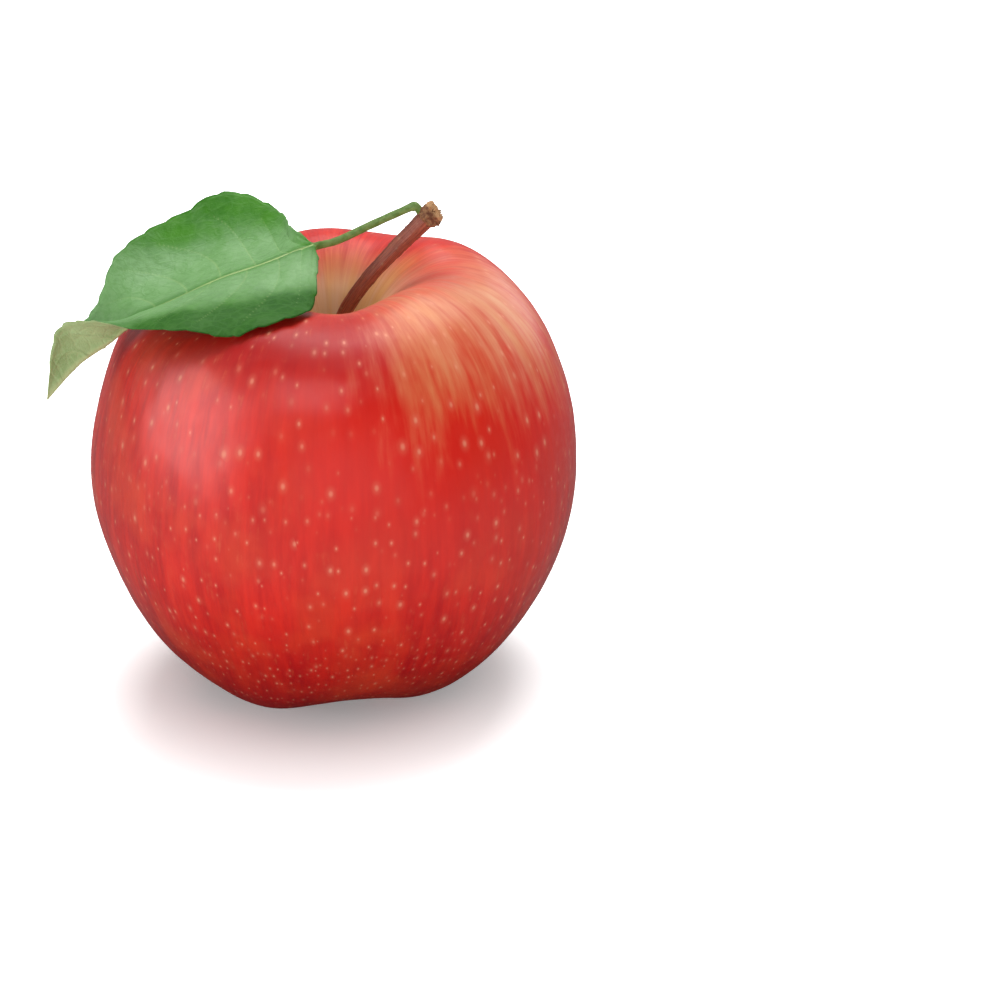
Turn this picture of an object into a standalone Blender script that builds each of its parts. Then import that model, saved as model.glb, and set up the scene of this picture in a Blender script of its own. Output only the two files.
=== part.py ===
"""A whole apple standing on its own lobes.

The fruit is one turned body with five soft lobes, a cavity at the stem and a shallow basin
underneath. The stem stands in a socket in the cavity and leans to +X. At its top is the torn bit
of spur that it grew from, and a leaf on its own stalk reaches from there to -X, over the fruit's
shoulder. Five dried sepals and a tuft of stamens hang in the basin.

Run it with blender --background --python part.py, or from Blender's text editor.
Units are metres, +Z is up and the floor is z = 0.
"""
import math

import bmesh
import bpy
import numpy as np
from mathutils import Vector

MM = 0.001

# ---------------------------------------------------------------- driving dimensions
FIT_GAP = 0.3 * MM              # between pieces that touch

FRUIT_RADIUS = 39.4 * MM        # at the widest
FRUIT_HEIGHT = 68.5 * MM        # floor to the top of the shoulder
SHOULDER_RADIUS = 20.0 * MM     # ring of the highest points
FOOT_RADIUS = 14.0 * MM         # ring that the fruit stands on
CAVITY_DEPTH = 15.0 * MM        # shoulder to the stem's seat
BASIN_DEPTH = 6.5 * MM
FOOT_FLAT = 0.35 * MM           # what the fruit's weight has flattened off each foot
FOOT_GROOVE = 2.8 * MM          # depth of the grooves between the feet
SHOULDER_WAVE = 0.7 * MM        # rise of each lobe at the shoulder
SHOULDER_TILT = 2.0 * MM        # how much higher the shoulder is on one side
FOOT_SHIFT = 1.8 * MM           # how far the feet stand off to -X
SHOULDER_SHIFT = 0.3 * MM       # how far the cheeks below the shoulder lean to +X
RIB_SHARE = 0.019               # how far the lobes stand out at the sides, as a share of radius
LOBES = 5
LOBE_TURN = math.radians(30)    # direction of the first lobe
TILT_TURN = math.radians(35)    # direction of the shoulder's high side

STEM_RADIUS = 1.25 * MM
STEM_RISE = 24.4 * MM
STEM_LEAN = 14.6 * MM           # how far the top leans to +X
STEM_BACK = 1.5 * MM            # and to +Y
SOCKET_DEPTH = 1.5 * MM

SPUR_RADIUS = 1.9 * MM
SPUR_LENGTH = 2.9 * MM
SPUR_SLANT = 0.16               # how much lower its torn end is on one side, as a share of length
SPUR_SWELL = 1.15               # its radius where the knots stand out most, as a share of its own

STALK_REACH = 16.5 * MM         # spur to the foot of the blade
STALK_RADIUS = 0.7 * MM
STALK_LEVEL = 0.20              # where the stalk leaves the spur, as a share of the spur's length
LEAF_LENGTH = 50.0 * MM         # foot of the blade to its tip, in a straight line
LEAF_THICKNESS = 0.4 * MM
LEAF_CUP = 0.10                 # sag of the far half between midrib and margin, as a share of width
LEAF_ARCH = 0.08                # rise of the near half, which drapes over the shoulder
RIB_TAPER = 0.75                # how much of the midrib's depth is gone at the tip
LEAF_CLEARANCE = 0.9 * MM       # least height of the blade's middle surface over the fruit
TOOTH_DEPTH = 0.5 * MM
TEETH = 20                      # along each margin

CALYX_RADIUS = 2.7 * MM         # ring that the sepals grow on
SEPAL_LENGTH = 4.4 * MM
SEPAL_THICKNESS = 0.55 * MM
SEPALS = 5
SEPAL_FILL = 0.78               # width at the root, as a share of the room between neighbours
SEPAL_LEAN = 0.44               # how far it leans in, as a share of the ring's radius
SEPAL_CURL = 0.20               # how far its tip curls back out, as a share of the ring's radius
SEPAL_CUP = 0.22                # how hollow it is across, as a share of width
TUFT_RADIUS = 1.0 * MM
TUFT_LENGTH = 2.8 * MM
TUFT_RAGGED = 0.12              # depth of its ragged edge, as a share of radius

# ---------------------------------------------------------------- outlines
# Cavity wall from the seat outwards: share of the shoulder's radius, share of the cavity's depth.
CAVITY_SHAPE = ((0.225, 0.73), (0.425, 0.33), (0.675, 0.08), (1.0, 0.0))
# Upper side: share of the way from shoulder to widest ring, share of the fruit's height.
UPPER_SHAPE = ((0.39, 0.963), (0.70, 0.876), (0.89, 0.745), (1.0, 0.59))
# Lower side: share of the way from foot to widest ring, share of the fruit's height.
LOWER_SHAPE = ((0.987, 0.43), (0.85, 0.27), (0.65, 0.139), (0.42, 0.049), (0.16, 0.004))
# Basin inwards from the feet: share of the foot's radius, share of the basin's depth.
BASIN_SHAPE = ((0.71, 0.25), (0.46, 0.65), (0.21, 0.94), (0.0, 1.0))

# The stem's middle line: share of its lean, share of its rise, share of its radius.
STEM_SHAPE = (
    (0.00, 0.00, 1.05), (0.02, 0.15, 1.00), (0.13, 0.39, 0.92),
    (0.39, 0.62, 0.92), (0.71, 0.83, 1.00), (1.00, 1.00, 1.20),
)

# Torn spur, turned about the stem's own direction: share of radius, share of length.
SPUR_SHAPE = ((0.80, 0.0), (0.97, 0.22), (1.0, 0.5), (0.93, 0.78), (0.70, 0.96), (0.35, 0.90))
SPUR_DIMPLE = 0.84
# Knots of the spur: height as a share of radius, number round it, turns up its length.
SPUR_KNOTS = ((0.07, 3, 4.0), (0.05, 5, -7.0))

# The leaf's stalk, from the spur: shares of its reach along X, Y and Z.
STALK_SHAPE = (
    (0.00, 0.00, 0.00), (-0.15, 0.01, -0.06), (-0.46, 0.00, -0.20),
    (-0.73, -0.04, -0.32), (-0.915, -0.10, -0.355),
)
# The blade from its foot: near margin, midrib and far margin, in shares of the leaf's length.
BLADE_SHAPE = (
    ((0.00, -0.14, -0.03), (-0.07, -0.03, -0.01), (-0.09, 0.08, 0.03)),
    ((-0.02, -0.37, -0.115), (-0.18, -0.08, -0.04), (-0.14, 0.19, 0.046)),
    ((-0.20, -0.475, -0.15), (-0.31, -0.14, -0.07), (-0.31, 0.27, 0.075)),
    ((-0.38, -0.47, -0.13), (-0.44, -0.19, -0.12), (-0.51, 0.194, 0.02)),
    ((-0.55, -0.42, -0.14), (-0.56, -0.22, -0.17), (-0.65, 0.037, -0.045)),
    ((-0.69, -0.35, -0.14), (-0.65, -0.24, -0.24), (-0.70, -0.10, -0.16)),
    ((-0.80, -0.31, -0.19), (-0.75, -0.26, -0.31), (-0.77, -0.20, -0.25)),
    ((-0.85, -0.28, -0.42), (-0.85, -0.28, -0.42), (-0.85, -0.28, -0.42)),
)

# ---------------------------------------------------------------- mesh density
FRUIT_STEPS = 45
FRUIT_SPAN_SAMPLES = 3
STEM_SPAN_SAMPLES = 3
SPUR_STEPS = 18
SPUR_SPAN_SAMPLES = 2
STALK_STATIONS = 14
TOOTH_STATIONS = 4
HALF_BLADE_COLUMNS = (0.33, 0.66, 1.0)
SEPAL_STATIONS = 8
SEPAL_SIDES = 8


def clear_scene():
    for thing in list(bpy.data.objects):
        bpy.data.objects.remove(thing)


def new_collection(name):
    collection = bpy.data.collections.new(name)
    bpy.context.scene.collection.children.link(collection)
    return collection


def new_material(name, colour, roughness):
    material = bpy.data.materials.new(name)
    material.use_nodes = True
    shader = material.node_tree.nodes["Principled BSDF"]
    shader.inputs["Base Color"].default_value = (*colour, 1.0)
    shader.inputs["Roughness"].default_value = roughness
    material.diffuse_color = (*colour, 1.0)
    return material


def add_object(name, data, material, collection, parent):
    thing = bpy.data.objects.new(name, data)
    data.materials.append(material)
    collection.objects.link(thing)
    thing.parent = parent
    return thing


def smooth_curve(points, samples):
    """Points on a Catmull-Rom curve through the given ones, with so many samples to a span."""
    points = np.asarray(points, float)
    padded = np.vstack([2 * points[0] - points[1], points, 2 * points[-1] - points[-2]])
    curve = []
    for before, start, end, after in zip(padded, padded[1:], padded[2:], padded[3:]):
        for t in np.arange(samples) / samples:
            curve.append(0.5 * (2 * start + (end - before) * t
                                + (2 * before - 5 * start + 4 * end - after) * t ** 2
                                + (3 * start - before - 3 * end + after) * t ** 3))
    curve.append(points[-1])
    return np.array(curve)


def along(curve, share):
    """Rows of a curve's table at shares 0 to 1 of its length in rows."""
    rows = np.arange(len(curve))
    wanted = np.asarray(share) * (len(curve) - 1)
    return np.stack([np.interp(wanted, rows, column) for column in curve.T], axis=-1)


def unit(vectors):
    return vectors / np.linalg.norm(vectors, axis=-1, keepdims=True)


def turned_mesh(name, outline, steps):
    """Mesh that a Screw modifier turns from an outline of (radius, height), top to bottom."""
    mesh = bpy.data.meshes.new(name)
    points = [(radius, 0.0, height) for radius, height in outline]
    mesh.from_pydata(points, [(i, i + 1) for i in range(len(points) - 1)], [])
    turned = bpy.data.objects.new(name, mesh)
    bpy.context.scene.collection.objects.link(turned)
    screw = turned.modifiers.new("Turn", "SCREW")
    screw.axis = "Z"
    screw.steps = steps
    screw.render_steps = steps
    screw.use_merge_vertices = True
    screw.merge_threshold = 0.00001
    graph = bpy.context.evaluated_depsgraph_get()
    result = bpy.data.meshes.new_from_object(turned.evaluated_get(graph))
    bpy.data.objects.remove(turned)
    bpy.data.meshes.remove(mesh)
    result.name = name
    return result


def ring_mesh(name, rings, first_tip=None, last_tip=None):
    """Closed mesh through rings of equal counts; a tip closes an end to a point."""
    mesh = bmesh.new()
    rows = [[mesh.verts.new(point) for point in ring] for ring in rings]
    for row, following in zip(rows, rows[1:]):
        for k in range(len(row)):
            after = (k + 1) % len(row)
            mesh.faces.new((row[k], row[after], following[after], following[k]))
    for row, tip in ((rows[0][::-1], first_tip), (rows[-1], last_tip)):
        if tip is None:
            mesh.faces.new(row)
            continue
        point = mesh.verts.new(tip)
        for k in range(len(row)):
            mesh.faces.new((row[k], row[(k + 1) % len(row)], point))
    bmesh.ops.recalc_face_normals(mesh, faces=mesh.faces)
    data = bpy.data.meshes.new(name)
    mesh.to_mesh(data)
    mesh.free()
    return data


# ---------------------------------------------------------------- fruit
def seat_height():
    return FRUIT_HEIGHT - CAVITY_DEPTH


def socket_radius():
    return STEM_RADIUS * STEM_SHAPE[0][2] + FIT_GAP


def fruit_curve(samples):
    """Smooth outline from the rim of the socket, over the shoulder, to the basin's middle."""
    points = [(socket_radius(), seat_height())]
    points += [(a * SHOULDER_RADIUS, FRUIT_HEIGHT - b * CAVITY_DEPTH) for a, b in CAVITY_SHAPE]
    for a, b in UPPER_SHAPE:
        points.append((SHOULDER_RADIUS + a * (FRUIT_RADIUS - SHOULDER_RADIUS), b * FRUIT_HEIGHT))
    for a, b in LOWER_SHAPE:
        points.append((FOOT_RADIUS + a * (FRUIT_RADIUS - FOOT_RADIUS), b * FRUIT_HEIGHT))
    points.append((FOOT_RADIUS, -FOOT_FLAT))
    points += [(a * FOOT_RADIUS, b * BASIN_DEPTH) for a, b in BASIN_SHAPE]
    return smooth_curve(points, samples)


def bump(values, middle, spread):
    return np.exp(-((values - middle) / spread) ** 2)


def lobed(points):
    """Moves points of the turned fruit out onto its five lobes and flattens its feet."""
    x, y, z = points.T
    radius = np.hypot(x, y)
    turn = np.arctan2(y, x)
    lobe = np.cos(LOBES * (turn - LOBE_TURN))
    foot = bump(radius, FOOT_RADIUS + 2 * MM, 10 * MM) * bump(z, 0.0, 14 * MM)
    shoulder = bump(radius, SHOULDER_RADIUS, 11 * MM) * bump(z, FRUIT_HEIGHT, 12 * MM)
    below = np.clip(1 - z / (0.9 * FRUIT_HEIGHT), 0, 1) * np.clip(radius / SHOULDER_RADIUS, 0, 1)
    cheek = bump(z, 0.77 * FRUIT_HEIGHT, 13 * MM) * np.clip(radius / SHOULDER_RADIUS - 1, 0, 1)
    shift = SHOULDER_SHIFT * cheek
    shift -= FOOT_SHIFT * bump(z, 0.0, 9 * MM) * np.clip(radius / FOOT_RADIUS, 0, 1)
    swell = 1 + RIB_SHARE * lobe * below
    lift = foot * FOOT_GROOVE * (1 - lobe) / 2
    lift += shoulder * (SHOULDER_WAVE * lobe + SHOULDER_TILT * np.cos(turn - TILT_TURN))
    return np.stack([x * swell + shift, y * swell, np.maximum(z + lift, 0.0)], axis=-1)


def make_fruit(material, collection, parent):
    floor = seat_height() - SOCKET_DEPTH
    outline = [(0.0, floor), (socket_radius(), floor)]
    outline += [tuple(point) for point in fruit_curve(FRUIT_SPAN_SAMPLES)]
    mesh = turned_mesh("fruit", outline, FRUIT_STEPS)
    for vertex, place in zip(mesh.vertices, lobed(np.array([v.co[:] for v in mesh.vertices]))):
        vertex.co = place
    mesh.shade_smooth()
    return add_object("fruit", mesh, material, collection, parent)


def fruit_top(places):
    """Height of the fruit's skin under each place, or the floor beyond its widest ring."""
    curve = fruit_curve(12)
    upper = curve[:np.argmax(curve[:, 0]) + 1]
    radius = np.hypot(places[:, 0], places[:, 1])
    height = np.interp(radius, upper[:, 0], upper[:, 1])
    turned = np.stack([places[:, 0], places[:, 1], height], axis=-1)
    return np.where(radius < upper[-1, 0], lobed(turned)[:, 2], 0.0)


# ---------------------------------------------------------------- stem and spur
def stem_line():
    """Rows of x, y, z and radius along the stem, from its foot in the socket to its top."""
    foot = seat_height() - SOCKET_DEPTH + FIT_GAP
    rows = [(a * STEM_LEAN, a * STEM_BACK, foot + b * STEM_RISE, c * STEM_RADIUS)
            for a, b, c in STEM_SHAPE]
    return smooth_curve(rows, STEM_SPAN_SAMPLES)


def make_stem(material, collection, parent):
    line = stem_line()
    curve = bpy.data.curves.new("stem", "CURVE")
    curve.dimensions = "3D"
    curve.bevel_depth = 1.0
    curve.bevel_resolution = 4
    curve.use_fill_caps = True
    spline = curve.splines.new("POLY")
    spline.points.add(len(line) - 1)
    for point, (x, y, z, radius) in zip(spline.points, line):
        point.co = (x, y, z, 1.0)
        point.radius = radius
    spline.use_smooth = True
    return add_object("stem", curve, material, collection, parent)


def spur_frame():
    """Foot of the torn spur, just past the stem's end, and the way that it points."""
    line = stem_line()[:, :3]
    direction = unit(line[-1] - line[-2])
    return line[-1] + direction * FIT_GAP, direction


def make_spur(material, collection, parent):
    rim = smooth_curve([(a * SPUR_RADIUS, b * SPUR_LENGTH) for a, b in SPUR_SHAPE], SPUR_SPAN_SAMPLES)
    outline = [(0.0, SPUR_DIMPLE * SPUR_LENGTH)] + [tuple(p) for p in rim[::-1]] + [(0.0, 0.0)]
    mesh = turned_mesh("spur_knob", outline, SPUR_STEPS)
    for vertex in mesh.vertices:
        x, y, z = vertex.co
        turn = math.atan2(y, x)
        share = z / SPUR_LENGTH
        knots = 1 + sum(high * math.sin(count * turn + twist * share)
                        for high, count, twist in SPUR_KNOTS)
        slant = 1 - SPUR_SLANT * share * math.cos(turn - 0.6)
        vertex.co = (x * knots, y * knots, z * slant)
    mesh.shade_smooth()
    knob = add_object("spur_knob", mesh, material, collection, parent)
    foot, direction = spur_frame()
    knob.location = foot
    knob.rotation_mode = "QUATERNION"
    knob.rotation_quaternion = Vector((0, 0, 1)).rotation_difference(Vector(direction))
    return knob


# ---------------------------------------------------------------- leaf
def stalk_start():
    """Where the leaf's stalk meets the spur's side, clear of its knots."""
    foot, direction = spur_frame()
    aside = unit(np.array([-1.0, 0.0, 0.55]))
    aside = unit(aside - direction * np.dot(aside, direction))
    reach = SPUR_RADIUS * SPUR_SWELL + FIT_GAP + 0.3 * STALK_RADIUS
    return foot + direction * STALK_LEVEL * SPUR_LENGTH + aside * reach


def leaf_rails():
    """Rows of near margin, midrib and far margin along the stalk and the blade."""
    start = stalk_start()
    stalk = [start + np.array(point) * STALK_REACH for point in STALK_SHAPE]
    width = np.array([0.0, -STALK_RADIUS, 0.0])
    rows = [(point + width, point, point - width) for point in stalk]
    blade_foot = stalk[-1]
    for near, middle, far in BLADE_SHAPE:
        rows.append(tuple(blade_foot + np.array(p) * LEAF_LENGTH for p in (near, middle, far)))
    return np.array(rows).reshape(len(rows), 9), len(stalk) - 1


def tooth(share):
    """Saw teeth that lean towards the tip, 0 to 1, fading at both ends of the blade."""
    phase = (share * TEETH) % 1.0
    saw = np.where(phase < 0.76, phase / 0.76, (1 - phase) / 0.24)
    return saw * np.clip(12 * share, 0, 1) * np.clip(10 * (1 - share), 0, 1)


def leaf_stations():
    """Shares of the whole leaf's rows where its rings stand, and of the blade alone."""
    rails, last_stalk = leaf_rails()
    turning = last_stalk / (len(rails) - 1)
    stalk = np.linspace(0.0, turning, STALK_STATIONS, endpoint=False)
    blade = np.arange(TEETH * TOOTH_STATIONS) / (TEETH * TOOTH_STATIONS)
    whole = np.concatenate([stalk, turning + blade * (1 - turning)])
    return whole, np.concatenate([np.zeros(len(stalk)), blade])


def leaf_surface(near, middle, far, blade):
    """Middle surface of the leaf: stations by columns from near margin to far margin."""
    travel = unit(np.gradient(middle, axis=0))
    halves = []
    for side, margin, cup in ((-1, near, -LEAF_ARCH), (1, far, LEAF_CUP)):
        arm = margin - middle
        reach = np.linalg.norm(arm, axis=1, keepdims=True)
        sag = unit(np.cross(arm, travel)) * side * reach * cup * blade_only(blade)
        half = [middle + arm * f - sag * 4 * f * (1 - f) for f in HALF_BLADE_COLUMNS]
        half[-1] = half[-1] + unit(arm) * TOOTH_DEPTH * tooth(blade)[:, None]
        halves.append(half)
    return np.stack(halves[0][::-1] + [middle] + halves[1], axis=1)


def blade_only(blade):
    """0 along the stalk, rising to 1 over the first tenth of the blade."""
    return np.clip(blade * 10, 0, 1)[:, None]


def surface_normals(surface):
    across = np.gradient(surface, axis=1)
    lengthways = np.gradient(surface, axis=0)
    return unit(np.cross(across, lengthways))


def rest_over_fruit(surface):
    """Lifts what would come closer to the fruit than the clearance, with a soft corner."""
    flat = surface.reshape(-1, 3).copy()
    spare = flat[:, 2] - fruit_top(flat) - LEAF_CLEARANCE
    soft = 0.4 * MM
    flat[:, 2] += 0.5 * (np.sqrt(spare ** 2 + soft ** 2) - spare)
    return flat.reshape(surface.shape)


def leaf_rings():
    rails, _ = leaf_rails()
    whole, blade = leaf_stations()
    table = along(smooth_curve(rails, 12), whole)
    near, middle, far = table[:, 0:3], table[:, 3:6], table[:, 6:9]
    surface = rest_over_fruit(leaf_surface(near, middle, far, blade))
    normal = surface_normals(surface)
    count = surface.shape[1]
    centre = count // 2
    taper = 1 - RIB_TAPER * blade
    sheet = LEAF_THICKNESS / 2 * np.clip(4 * (1 - blade), 0.3, 1)
    tip = surface[-1, centre] + (table[-1, 3:6] - table[-2, 3:6])
    angles = np.linspace(math.pi, 0, count)
    side = unit(surface[:, -1] - surface[:, 0])
    rings = []
    for i, share in enumerate(blade):
        round_part = 1 - min(1.0, share * 12)
        rib = STALK_RADIUS * taper[i]
        upper, lower = [], []
        for k, angle in enumerate(angles):
            place = surface[i, k]
            inner = 0 < k < count - 1
            flat_top = place + normal[i, k] * sheet[i] * inner
            flat_low = place - normal[i, k] * (sheet[i] + (rib if k == centre else 0)) * inner
            tube = math.cos(angle) * side[i] * STALK_RADIUS
            rise = math.sin(angle) * normal[i, centre] * STALK_RADIUS
            round_top = surface[i, centre] + tube + rise
            round_low = surface[i, centre] + tube - rise
            upper.append(flat_top * (1 - round_part) + round_top * round_part)
            lower.append(flat_low * (1 - round_part) + round_low * round_part)
        rings.append(upper + lower[-2:0:-1])
    return rings, tip


def make_leaf(material, collection, parent):
    rings, tip = leaf_rings()
    mesh = ring_mesh("leaf", rings, last_tip=tip)
    mesh.shade_smooth()
    return add_object("leaf", mesh, material, collection, parent)


# ---------------------------------------------------------------- dried flower in the basin
def basin_height(radius):
    """Height of the basin's skin at a radius inside the feet."""
    curve = fruit_curve(12)
    basin = curve[curve[:, 0] < FOOT_RADIUS][::-1]
    basin = basin[basin[:, 1] < BASIN_DEPTH + FIT_GAP]
    return float(np.interp(radius, basin[:, 0], basin[:, 1]))


def sepal_rings():
    """One sepal hanging from the calyx ring at +X: it leans in, and its tip curls out."""
    root = basin_height(CALYX_RADIUS + SEPAL_THICKNESS) - FIT_GAP
    rings = []
    for share in np.linspace(0.0, 1.0, SEPAL_STATIONS):
        lean = SEPAL_LEAN * math.sin(math.pi * 0.85 * share) - SEPAL_CURL * share ** 3
        radius = CALYX_RADIUS * (1 - lean)
        middle = np.array([radius, 0.0, root - share * SEPAL_LENGTH])
        room = radius * math.tan(math.pi / SEPALS)
        width = room * SEPAL_FILL * (1 - 0.85 * share ** 1.8)
        thick = SEPAL_THICKNESS * (1 - 0.6 * share) / 2
        ring = []
        for k in range(SEPAL_SIDES):
            angle = 2 * math.pi * k / SEPAL_SIDES
            cup = -SEPAL_CUP * (math.cos(angle) ** 2) * width
            ring.append(middle + np.array([thick * math.sin(angle) + cup,
                                           width * math.cos(angle), 0.0]))
        rings.append(ring)
    return rings


def make_sepals(material, collection, parent):
    for number in range(SEPALS):
        mesh = ring_mesh(f"sepal_{number + 1}", sepal_rings())
        mesh.shade_smooth()
        sepal = add_object(f"sepal_{number + 1}", mesh, material, collection, parent)
        sepal.rotation_euler.z = LOBE_TURN + (number + 0.5) * 2 * math.pi / SEPALS


def make_tuft(material, collection, parent):
    mesh = bmesh.new()
    bmesh.ops.create_uvsphere(mesh, u_segments=14, v_segments=8, radius=1.0)
    top = basin_height(0.0) - FIT_GAP
    for vertex in mesh.verts:
        x, y, z = vertex.co
        turn = math.atan2(y, x)
        ragged = 1 + TUFT_RAGGED * math.sin(7 * turn) * (1 - z) / 2
        vertex.co = (x * TUFT_RADIUS * ragged, y * TUFT_RADIUS * ragged,
                     top + (z - 1) * TUFT_LENGTH / 2)
    data = bpy.data.meshes.new("stamen_tuft")
    mesh.to_mesh(data)
    mesh.free()
    data.shade_smooth()
    add_object("stamen_tuft", data, material, collection, parent)


def centre_frame(frame, collection):
    """Moves the frame so that the middle of everything stands over the origin."""
    bpy.context.view_layer.update()
    graph = bpy.context.evaluated_depsgraph_get()
    corners = []
    for thing in collection.objects:
        if thing.type == "EMPTY":
            continue
        solid = thing.evaluated_get(graph)
        corners += [solid.matrix_world @ vertex.co for vertex in solid.to_mesh().vertices]
    table = np.array([corner[:] for corner in corners])
    middle = (table.min(axis=0) + table.max(axis=0)) / 2
    frame.location = (-middle[0], -middle[1], 0.0)


def main():
    clear_scene()
    collection = new_collection("apple")
    frame = bpy.data.objects.new("apple_frame", None)
    collection.objects.link(frame)

    skin = new_material("apple_skin", (0.50, 0.028, 0.022), 0.32)
    bark = new_material("stem_bark", (0.16, 0.032, 0.018), 0.6)
    torn_wood = new_material("torn_wood", (0.42, 0.26, 0.12), 0.8)
    leaf_green = new_material("leaf_green", (0.06, 0.24, 0.035), 0.42)
    dried_flower = new_material("dried_flower", (0.16, 0.11, 0.07), 0.9)

    make_fruit(skin, collection, frame)
    make_stem(bark, collection, frame)
    make_spur(torn_wood, collection, frame)
    make_leaf(leaf_green, collection, frame)
    make_sepals(dried_flower, collection, frame)
    make_tuft(dried_flower, collection, frame)
    centre_frame(frame, collection)


main()
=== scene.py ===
"""The look of a whole apple: skin, stem, torn spur, one leaf and the dried flower underneath.

Each piece is built again, finely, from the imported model's named sizes, and stands for its node.
Shapes are worked out round the fruit's axis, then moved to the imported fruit's place. Units are
metres, +Z is up and the floor is z = 0.
"""

import math

import bpy
import numpy as np
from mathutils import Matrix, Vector, noise


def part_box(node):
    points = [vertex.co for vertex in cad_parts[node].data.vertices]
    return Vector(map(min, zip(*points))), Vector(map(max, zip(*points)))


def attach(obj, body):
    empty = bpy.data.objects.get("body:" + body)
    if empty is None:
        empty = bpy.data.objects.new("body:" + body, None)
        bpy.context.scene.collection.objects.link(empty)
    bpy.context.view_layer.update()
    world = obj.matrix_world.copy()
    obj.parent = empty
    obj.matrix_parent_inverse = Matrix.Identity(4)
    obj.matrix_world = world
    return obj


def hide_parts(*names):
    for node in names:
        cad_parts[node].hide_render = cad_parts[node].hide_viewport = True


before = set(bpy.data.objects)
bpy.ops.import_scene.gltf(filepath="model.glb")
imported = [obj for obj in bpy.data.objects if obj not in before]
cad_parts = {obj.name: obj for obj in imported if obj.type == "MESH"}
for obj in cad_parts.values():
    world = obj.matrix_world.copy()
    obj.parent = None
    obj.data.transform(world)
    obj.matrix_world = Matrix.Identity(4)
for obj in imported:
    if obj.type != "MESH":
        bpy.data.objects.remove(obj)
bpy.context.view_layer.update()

MM = 0.001

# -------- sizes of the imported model
FIT_GAP = 0.3 * MM
FRUIT_RADIUS = 39.4 * MM
FRUIT_HEIGHT = 68.5 * MM
SHOULDER_RADIUS = 20.0 * MM
FOOT_RADIUS = 14.0 * MM
CAVITY_DEPTH = 15.0 * MM
BASIN_DEPTH = 6.5 * MM
FOOT_FLAT = 0.35 * MM
FOOT_GROOVE = 2.8 * MM
SHOULDER_WAVE = 0.7 * MM
SHOULDER_TILT = 2.0 * MM
FOOT_SHIFT = 1.8 * MM
SHOULDER_SHIFT = 0.3 * MM
RIB_SHARE = 0.019
LOBES = 5
LOBE_TURN = math.radians(30)
TILT_TURN = math.radians(35)

STEM_RADIUS = 1.25 * MM
STEM_RISE = 24.4 * MM
STEM_LEAN = 14.6 * MM
STEM_BACK = 1.5 * MM
SOCKET_DEPTH = 1.5 * MM

SPUR_RADIUS = 1.9 * MM
SPUR_LENGTH = 2.9 * MM
SPUR_SLANT = 0.16
SPUR_SWELL = 1.15

STALK_REACH = 16.5 * MM
STALK_RADIUS = 0.7 * MM
STALK_LEVEL = 0.2
LEAF_LENGTH = 50.0 * MM
LEAF_CUP = 0.1
LEAF_ARCH = 0.08
LEAF_CLEARANCE = 0.9 * MM
TOOTH_DEPTH = 0.5 * MM
TEETH = 20

CALYX_RADIUS = 2.7 * MM
SEPAL_LENGTH = 4.4 * MM
SEPALS = 5
SEPAL_LEAN = 0.44
SEPAL_CURL = 0.2
TUFT_RADIUS = 1.0 * MM
TUFT_LENGTH = 2.8 * MM

CAVITY_SHAPE = ((0.225, 0.73), (0.425, 0.33), (0.675, 0.08), (1.0, 0.0))
UPPER_SHAPE = ((0.39, 0.963), (0.7, 0.876), (0.89, 0.745), (1.0, 0.59))
LOWER_SHAPE = ((0.987, 0.43), (0.85, 0.27), (0.65, 0.139), (0.42, 0.049), (0.16, 0.004))
BASIN_SHAPE = ((0.71, 0.25), (0.46, 0.65), (0.21, 0.94), (0.0, 1.0))
STEM_SHAPE = (
    (0.0, 0.0, 1.05), (0.02, 0.15, 1.0), (0.13, 0.39, 0.92),
    (0.39, 0.62, 0.92), (0.71, 0.83, 1.0), (1.0, 1.0, 1.2),
)
SPUR_SHAPE = ((0.8, 0.0), (0.97, 0.22), (1.0, 0.5), (0.93, 0.78), (0.7, 0.96), (0.35, 0.9))
SPUR_DIMPLE = 0.84
SPUR_KNOTS = ((0.07, 3, 4.0), (0.05, 5, -7.0))
STALK_SHAPE = (
    (0.0, 0.0, 0.0), (-0.15, 0.01, -0.06), (-0.46, 0.0, -0.2),
    (-0.73, -0.04, -0.32), (-0.915, -0.1, -0.355),
)
BLADE_SHAPE = (
    ((0.0, -0.14, -0.03), (-0.07, -0.03, -0.01), (-0.09, 0.08, 0.03)),
    ((-0.02, -0.37, -0.115), (-0.18, -0.08, -0.04), (-0.14, 0.19, 0.046)),
    ((-0.2, -0.475, -0.15), (-0.31, -0.14, -0.07), (-0.31, 0.27, 0.075)),
    ((-0.38, -0.47, -0.13), (-0.44, -0.19, -0.12), (-0.51, 0.194, 0.02)),
    ((-0.55, -0.42, -0.14), (-0.56, -0.22, -0.17), (-0.65, 0.037, -0.045)),
    ((-0.69, -0.35, -0.14), (-0.65, -0.24, -0.24), (-0.7, -0.1, -0.16)),
    ((-0.8, -0.31, -0.19), (-0.75, -0.26, -0.31), (-0.77, -0.2, -0.25)),
    ((-0.85, -0.28, -0.42), (-0.85, -0.28, -0.42), (-0.85, -0.28, -0.42)),
)

# -------- sizes of the finer shape
SKIN_COLUMNS = 380
SKIN_ROWS = 248
SKIN_WAVE = 0.3 * MM  # broad unevenness of the fruit
SKIN_WAVE_SIZE = 17 * MM
SKIN_DIMPLE = 0.05 * MM  # small unevenness that breaks up reflections
SKIN_DIMPLE_SIZE = 3.4 * MM
SKIN_LENGTH = 126 * MM  # from the stem to the dried flower
CALYX_PUCKER = 0.3 * MM  # folds of the skin round the dried flower
CALYX_FOLDS = 13
FURROW_DEPTH = 0.7 * MM  # one shallow groove that leaves the cavity
FURROW_TURN = math.radians(10)
FURROW_RADIUS = 17 * MM

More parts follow.
